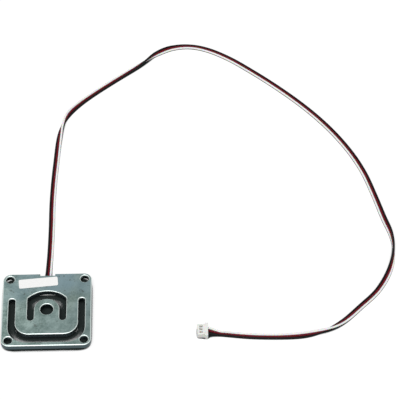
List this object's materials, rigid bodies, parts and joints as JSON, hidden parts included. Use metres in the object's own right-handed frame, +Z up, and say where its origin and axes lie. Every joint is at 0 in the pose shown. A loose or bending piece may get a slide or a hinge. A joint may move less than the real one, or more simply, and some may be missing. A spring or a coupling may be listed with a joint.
{
  "type": "flat load cell weight sensor",
  "caption": "Flat stamped steel load cell with an arched spring slot, sealed strain gauges and a three-wire ribbon ending in a small crimp plug.",
  "frame": {"origin": "centre of the square plate, on the surface that the sealant stands on", "axes": "+Z up through the centre hole, +Y to the rear edge where the ribbon leaves, +X to the right"},
  "size_m": [0.1526, 0.1584, 0.0036],
  "materials": {
    "zinc_plated_steel": "blue-bright zinc plate",
    "label_paper": "matte paper",
    "gauge_film": "amber film",
    "gauge_foil": "etched foil",
    "solder": "bright solder",
    "enamelled_copper": "enamelled",
    "black_insulation": "soft PVC",
    "red_insulation": "soft PVC",
    "white_insulation": "soft PVC",
    "ribbon_insulation": "soft PVC, three colours",
    "white_silicone": "cured silicone",
    "white_nylon": "moulded nylon",
    "tinned_contact": "tin plate"
  },
  "bodies": {
    "root": {"spring_plate": "zinc_plated_steel", "label": "label_paper", "gauge_film_left": "gauge_film", "gauge_film_right": "gauge_film", "gauge_foil_left": "gauge_foil", "gauge_foil_right": "gauge_foil", "solder_joints": "solder", "jumper_wire": "enamelled_copper", "inner_wire_black": "black_insulation", "inner_wire_red": "red_insulation", "inner_wire_white": "white_insulation", "sealant": "white_silicone", "ribbon_cable": "ribbon_insulation", "plug_wire_black": "black_insulation", "plug_wire_red": "red_insulation", "plug_wire_white": "white_insulation", "plug_housing": "white_nylon", "contact_black": "tinned_contact", "contact_red": "tinned_contact", "contact_white": "tinned_contact"}
  },
  "joints": []
}
